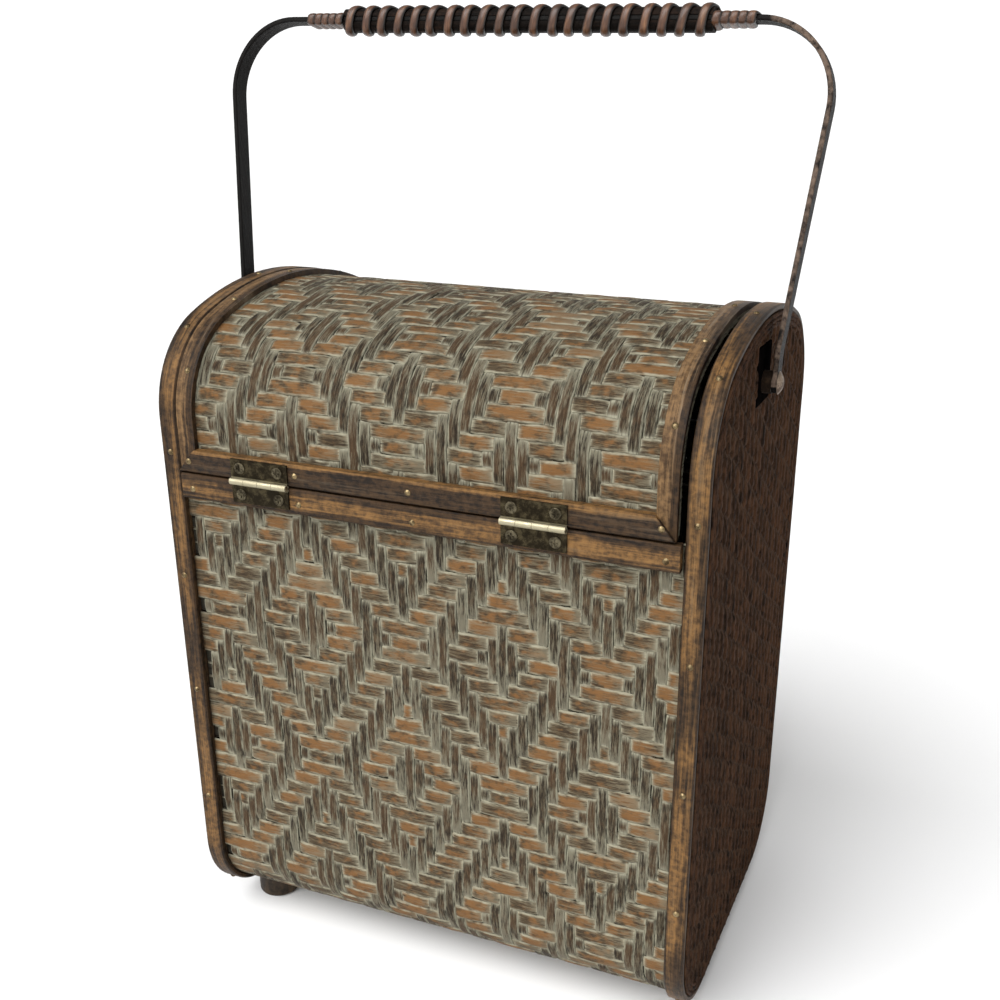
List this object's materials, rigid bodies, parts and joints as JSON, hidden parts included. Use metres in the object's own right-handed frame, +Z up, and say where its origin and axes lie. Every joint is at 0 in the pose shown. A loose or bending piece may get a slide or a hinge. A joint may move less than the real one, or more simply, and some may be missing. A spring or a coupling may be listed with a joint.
{
  "type": "basket box bag",
  "caption": "Domed woven-splint box bag with arched end boards, a hinged barrel lid, a wrapped swinging handle and a swing hook",
  "frame": {"origin": "on the surface that the feet stand on, under the middle of the case", "axes": "+X to the right as seen from the hinge side, +Y from the hinges towards the hook, +Z up"},
  "size_m": [0.2532, 0.1666, 0.3944],
  "materials": {
    "end_weave": "fine woven splint, stained dark brown, worn matt",
    "rim_wood": "split strip, dark stain rubbed to amber on the edges",
    "splint_weave": "twill-woven splint, brown stain with pale grey worn edges",
    "rail_wood": "split strip, dark stain, rubbed satin",
    "leaf_brass": "antique brass, olive-brown, rubbed",
    "pin_brass": "bright worn brass",
    "screw_steel": "dull plated steel",
    "tack_iron": "small iron tacks, dark and dull",
    "strap_wood": "bent strip, black-brown with worn taupe edges",
    "core_cane": "split cane",
    "wrap_cane": "shiny cane wrapping, copper-brown",
    "rivet_metal": "domed rivet, dull taupe",
    "plate_iron": "thin iron plate, painted black",
    "washer_wood": "turned spacer, dark stain",
    "latch_brass": "antique brass, rubbed",
    "foot_wood": "turned peg, dark stain with grey patina"
  },
  "bodies": {
    "case": {"end_panel_left": "end_weave", "end_panel_right": "end_weave", "rim_left": "rim_wood", "rim_right": "rim_wood", "body_shell": "splint_weave", "body_rail_back": "rail_wood", "body_rail_front": "rail_wood", "hinge_leaf_body_left": "leaf_brass", "hinge_leaf_body_right": "leaf_brass", "hinge_pin_left": "pin_brass", "hinge_pin_right": "pin_brass", "hinge_screws_body": "screw_steel", "rim_tacks_left": "tack_iron", "rim_tacks_right": "tack_iron", "rail_tacks_body": "tack_iron", "handle_rivet_left": "rivet_metal", "handle_rivet_right": "rivet_metal", "pivot_plate_left": "plate_iron", "pivot_plate_right": "plate_iron", "handle_washer_left": "washer_wood", "handle_washer_right": "washer_wood", "latch_hook_screw": "latch_brass", "foot_left_back": "foot_wood", "foot_left_front": "foot_wood", "foot_right_back": "foot_wood", "foot_right_front": "foot_wood"},
    "lid": {"lid_shell": "splint_weave", "lid_end_strip_left": "rail_wood", "lid_end_strip_right": "rail_wood", "lid_rail_back": "rail_wood", "lid_rail_front": "rail_wood", "hinge_leaf_lid_left": "leaf_brass", "hinge_leaf_lid_right": "leaf_brass", "hinge_screws_lid": "screw_steel", "rail_tacks_lid": "tack_iron", "latch_stud": "latch_brass"},
    "handle": {"handle_strap": "strap_wood", "grip_core_top": "core_cane", "grip_core_bottom": "core_cane", "grip_wrap": "wrap_cane"},
    "hook": {"latch_hook": "latch_brass"}
  },
  "joints": [
    {"name": "lid_hinge", "type": "hinge", "parent": "case", "child": "lid", "pos_m": [0, -0.0819, 0.2202], "axis": [1, 0, 0], "range_deg": [0, 175]},
    {"name": "handle_swing", "type": "hinge", "parent": "case", "child": "handle", "pos_m": [0, -0.008, 0.262], "axis": [-1, 0, 0], "range_deg": [-152, 120]},
    {"name": "hook_swing", "type": "hinge", "parent": "case", "child": "hook", "pos_m": [0, 0.0813, 0.2146], "axis": [0, 1, 0], "range_deg": [-140, 180]}
  ]
}
